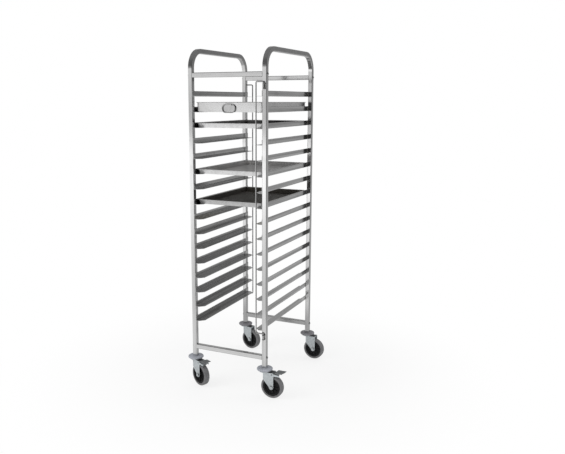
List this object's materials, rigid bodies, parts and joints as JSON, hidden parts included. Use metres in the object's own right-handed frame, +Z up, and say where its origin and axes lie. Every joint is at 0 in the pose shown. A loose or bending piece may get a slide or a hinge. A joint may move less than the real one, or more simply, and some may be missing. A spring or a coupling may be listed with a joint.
{
  "type": "tray trolley",
  "caption": "Tall stainless tray trolley with bent tube side hoops, L runners, swing retaining rods, flat trays, a deep pan and braked swivel casters.",
  "frame": {"origin": "on the floor, midway between the four posts", "axes": "+X to the right across the front, +Y from front to back, +Z up"},
  "size_m": [0.595, 0.7425, 1.85],
  "materials": {
    "tube_steel": "polished stainless tube",
    "runner_steel": "satin stainless sheet",
    "bright_steel": "bright stainless rod and fittings",
    "pan_steel": "satin stainless sheet",
    "dark_tray": "dark baked coating, bare rim",
    "black_tray": "near-black coating with fine ridges, bare rim",
    "bare_tray": "dull bare aluminium",
    "zinc": "zinc plated",
    "bumper_grey": "grey rubber",
    "core_black": "black plastic",
    "tyre_grey": "grey non-marking rubber"
  },
  "bodies": {
    "frame": {"left_hoop": "tube_steel", "right_hoop": "tube_steel", "top_front_bar": "tube_steel", "top_rear_bar": "tube_steel", "bottom_front_bar": "tube_steel", "bottom_rear_bar": "tube_steel", "crossbar_bolts": "bright_steel", "runner_pair_01": "runner_steel", "runner_pair_02": "runner_steel", "runner_pair_03": "runner_steel", "runner_pair_04": "runner_steel", "runner_pair_05": "runner_steel", "runner_pair_06": "runner_steel", "runner_pair_07": "runner_steel", "runner_pair_08": "runner_steel", "runner_pair_09": "runner_steel", "runner_pair_10": "runner_steel", "runner_pair_11": "runner_steel", "runner_pair_12": "runner_steel", "runner_pair_13": "runner_steel", "runner_pair_14": "runner_steel", "runner_pair_15": "runner_steel", "runner_pair_16": "runner_steel", "retainer_brackets": "bright_steel", "front_left_stem": "zinc", "front_left_bumper": "bumper_grey", "front_right_stem": "zinc", "front_right_bumper": "bumper_grey", "rear_left_stem": "zinc", "rear_left_bumper": "bumper_grey", "rear_right_stem": "zinc", "rear_right_bumper": "bumper_grey"},
    "front_retainer": {"front_retainer": "bright_steel"},
    "rear_retainer": {"rear_retainer": "bright_steel"},
    "upper_tray": {"upper_tray": "dark_tray"},
    "middle_tray": {"middle_tray": "bare_tray"},
    "lower_tray": {"lower_tray": "black_tray"},
    "deep_pan": {"deep_pan": "pan_steel", "pan_handle_barrel": "bright_steel"},
    "pan_handle": {"pan_handle": "bright_steel"},
    "front_left_caster": {"front_left_fork": "zinc", "front_left_axle": "zinc"},
    "front_left_wheel": {"front_left_wheel_core": "core_black", "front_left_tyre": "tyre_grey"},
    "front_left_brake": {"front_left_brake_pedal": "zinc"},
    "front_right_caster": {"front_right_fork": "zinc", "front_right_axle": "zinc"},
    "front_right_wheel": {"front_right_wheel_core": "core_black", "front_right_tyre": "tyre_grey"},
    "front_right_brake": {"front_right_brake_pedal": "zinc"},
    "rear_left_caster": {"rear_left_fork": "zinc", "rear_left_axle": "zinc"},
    "rear_left_wheel": {"rear_left_wheel_core": "core_black", "rear_left_tyre": "tyre_grey"},
    "rear_right_caster": {"rear_right_fork": "zinc", "rear_right_axle": "zinc"},
    "rear_right_wheel": {"rear_right_wheel_core": "core_black", "rear_right_tyre": "tyre_grey"}
  },
  "joints": [
    {"name": "front_retainer_swing", "type": "hinge", "parent": "frame", "child": "front_retainer", "pos_m": [0.2145, -0.3385, 1.04075], "axis": [0, 0, 1], "range_deg": [0, 180]},
    {"name": "rear_retainer_swing", "type": "hinge", "parent": "frame", "child": "rear_retainer", "pos_m": [-0.2145, 0.3385, 1.04075], "axis": [0, 0, 1], "range_deg": [0, 180]},
    {"name": "upper_tray_slide", "type": "slide", "parent": "frame", "child": "upper_tray", "axis": [0, -1, 0], "range_m": [-0.039, 0.029]},
    {"name": "middle_tray_slide", "type": "slide", "parent": "frame", "child": "middle_tray", "axis": [0, -1, 0], "range_m": [-0.039, 0.029]},
    {"name": "lower_tray_slide", "type": "slide", "parent": "frame", "child": "lower_tray", "axis": [0, -1, 0], "range_m": [-0.039, 0.029]},
    {"name": "deep_pan_slide", "type": "slide", "parent": "frame", "child": "deep_pan", "axis": [0, -1, 0], "range_m": [-0.039, 0.029]},
    {"name": "pan_handle_swing", "type": "hinge", "parent": "deep_pan", "child": "pan_handle", "pos_m": [0, -0.30595, 1.5592], "axis": [-1, 0, 0], "range_deg": [0, 95]},
    {"name": "front_left_swivel", "type": "hinge", "parent": "frame", "child": "front_left_caster", "pos_m": [-0.2145, -0.3175, 0.142], "axis": [0, 0, 1], "continuous": true},
    {"name": "front_left_roll", "type": "hinge", "parent": "front_left_caster", "child": "front_left_wheel", "pos_m": [-0.17248, -0.33621, 0.0625], "axis": [-0.4067, -0.9135, 0], "continuous": true},
    {"name": "front_left_brake_press", "type": "hinge", "parent": "front_left_caster", "child": "front_left_brake", "pos_m": [-0.16974, -0.33743, 0.135], "axis": [0.4067, 0.9135, 0], "range_deg": [0, 9.5]},
    {"name": "front_right_swivel", "type": "hinge", "parent": "frame", "child": "front_right_caster", "pos_m": [0.2145, -0.3175, 0.142], "axis": [0, 0, 1], "continuous": true},
    {"name": "front_right_roll", "type": "hinge", "parent": "front_right_caster", "child": "front_right_wheel", "pos_m": [0.2605, -0.3175, 0.0625], "axis": [0, -1, 0], "continuous": true},
    {"name": "front_right_brake_press", "type": "hinge", "parent": "front_right_caster", "child": "front_right_brake", "pos_m": [0.2635, -0.3175, 0.135], "axis": [0, 1, 0], "range_deg": [0, 9.5]},
    {"name": "rear_left_swivel", "type": "hinge", "parent": "frame", "child": "rear_left_caster", "pos_m": [-0.2145, 0.3175, 0.142], "axis": [0, 0, 1], "continuous": true},
    {"name": "rear_left_roll", "type": "hinge", "parent": "rear_left_caster", "child": "rear_left_wheel", "pos_m": [-0.1692, 0.30951, 0.0625], "axis": [-0.1736, -0.9848, 0], "continuous": true},
    {"name": "rear_right_swivel", "type": "hinge", "parent": "frame", "child": "rear_right_caster", "pos_m": [0.2145, 0.3175, 0.142], "axis": [0, 0, 1], "continuous": true},
    {"name": "rear_right_roll", "type": "hinge", "parent": "rear_right_caster", "child": "rear_right_wheel", "pos_m": [0.26047, 0.31589, 0.0625], "axis": [-0.0349, -0.9994, 0], "continuous": true}
  ]
}
